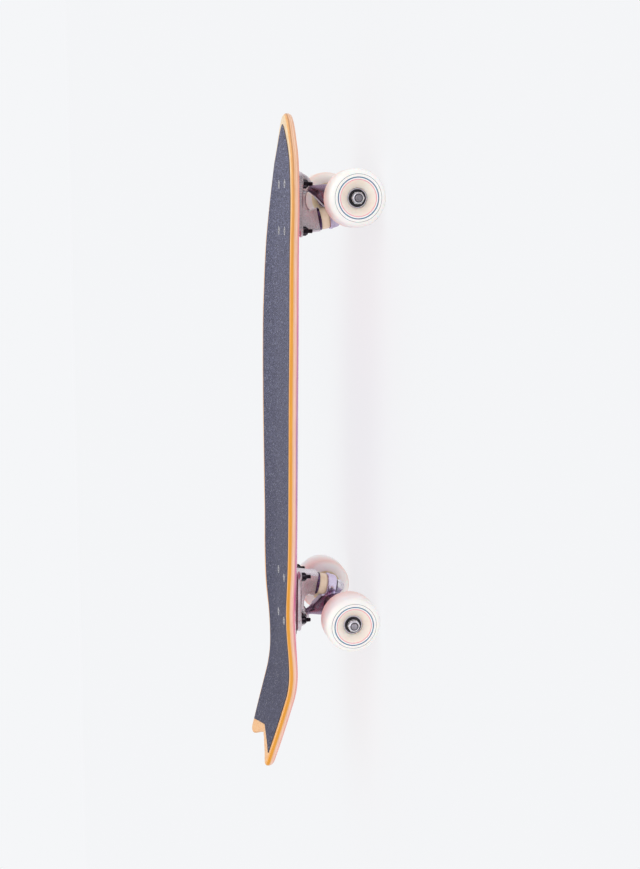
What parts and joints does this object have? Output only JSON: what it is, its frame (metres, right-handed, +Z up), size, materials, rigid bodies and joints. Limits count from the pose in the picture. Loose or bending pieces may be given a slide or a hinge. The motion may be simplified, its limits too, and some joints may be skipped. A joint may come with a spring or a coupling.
{
  "type": "surf skateboard",
  "caption": "Fish-tailed maple cruiser board with a concave gripped deck, kicked tail, sprung steering trucks and wide soft wheels that turn freely.",
  "frame": {"origin": "on the ground, under the middle of the deck", "axes": "+X towards the nose, +Y to the left, +Z up through the deck"},
  "size_m": [0.7704, 0.2214, 0.1286],
  "materials": {
    "wood": "clear-coated maple veneers",
    "grip": "fine abrasive grip, blue-grey",
    "riser": "dark moulded pad",
    "cast_metal": "polished casting",
    "hanger_metal": "polished casting",
    "cup": "black moulded cup",
    "steel": "bright plated steel",
    "washer": "plated, lavender tint",
    "bushing": "cream elastomer",
    "urethane": "cream-white elastomer",
    "bearing": "dark shield and bright races",
    "black_steel": "black plated steel"
  },
  "bodies": {
    "board": {"deck": "wood", "front_baseplate": "cast_metal", "front_inner_left_bolt": "black_steel", "front_inner_left_deck_nut": "black_steel", "front_inner_right_bolt": "black_steel", "front_inner_right_deck_nut": "black_steel", "front_kingpin": "steel", "front_kingpin_nut": "steel", "front_lower_bushing": "bushing", "front_lower_washer": "washer", "front_outer_left_bolt": "black_steel", "front_outer_left_deck_nut": "black_steel", "front_outer_right_bolt": "black_steel", "front_outer_right_deck_nut": "black_steel", "front_pivot_cup": "cup", "front_riser": "riser", "front_upper_bushing": "bushing", "front_upper_washer": "washer", "grip_tape": "grip", "rear_baseplate": "cast_metal", "rear_inner_left_bolt": "black_steel", "rear_inner_left_deck_nut": "black_steel", "rear_inner_right_bolt": "black_steel", "rear_inner_right_deck_nut": "black_steel", "rear_kingpin": "steel", "rear_kingpin_nut": "steel", "rear_lower_bushing": "bushing", "rear_lower_washer": "washer", "rear_outer_left_bolt": "black_steel", "rear_outer_left_deck_nut": "black_steel", "rear_outer_right_bolt": "black_steel", "rear_outer_right_deck_nut": "black_steel", "rear_pivot_cup": "cup", "rear_riser": "riser", "rear_upper_bushing": "bushing", "rear_upper_washer": "washer"},
    "front_truck_hanger": {"front_hanger": "hanger_metal", "front_axle": "steel", "front_left_speed_washer": "steel", "front_left_axle_nut": "steel", "front_right_speed_washer": "steel", "front_right_axle_nut": "steel"},
    "rear_truck_hanger": {"rear_hanger": "hanger_metal", "rear_axle": "steel", "rear_left_speed_washer": "steel", "rear_left_axle_nut": "steel", "rear_right_speed_washer": "steel", "rear_right_axle_nut": "steel"},
    "front_left_wheel_set": {"front_left_wheel": "urethane", "front_left_inner_bearing": "bearing", "front_left_outer_bearing": "bearing"},
    "front_right_wheel_set": {"front_right_wheel": "urethane", "front_right_inner_bearing": "bearing", "front_right_outer_bearing": "bearing"},
    "rear_left_wheel_set": {"rear_left_wheel": "urethane", "rear_left_inner_bearing": "bearing", "rear_left_outer_bearing": "bearing"},
    "rear_right_wheel_set": {"rear_right_wheel": "urethane", "rear_right_inner_bearing": "bearing", "rear_right_outer_bearing": "bearing"}
  },
  "joints": [
    {"name": "front_steer", "type": "hinge", "parent": "board", "child": "front_truck_hanger", "pos_m": [0.3021, 0, 0.0741], "axis": [0.7391, 0, 0.6736], "range_deg": [-14, 14], "stiffness_Nm_per_rad": 20, "deforming": ["front_upper_bushing", "front_lower_bushing"]},
    {"name": "front_left_spin", "type": "hinge", "parent": "front_truck_hanger", "child": "front_left_wheel_set", "pos_m": [0.2882, 0.0877, 0.0325], "axis": [0, 1, 0], "continuous": true},
    {"name": "front_right_spin", "type": "hinge", "parent": "front_truck_hanger", "child": "front_right_wheel_set", "pos_m": [0.2882, -0.0877, 0.0325], "axis": [0, 1, 0], "continuous": true},
    {"name": "rear_steer", "type": "hinge", "parent": "board", "child": "rear_truck_hanger", "pos_m": [-0.2141, 0, 0.0741], "axis": [0.7391, 0, -0.6736], "range_deg": [-14, 14], "stiffness_Nm_per_rad": 20, "deforming": ["rear_upper_bushing", "rear_lower_bushing"]},
    {"name": "rear_left_spin", "type": "hinge", "parent": "rear_truck_hanger", "child": "rear_left_wheel_set", "pos_m": [-0.2002, 0.0877, 0.0325], "axis": [0, 1, 0], "continuous": true},
    {"name": "rear_right_spin", "type": "hinge", "parent": "rear_truck_hanger", "child": "rear_right_wheel_set", "pos_m": [-0.2002, -0.0877, 0.0325], "axis": [0, 1, 0], "continuous": true}
  ]
}
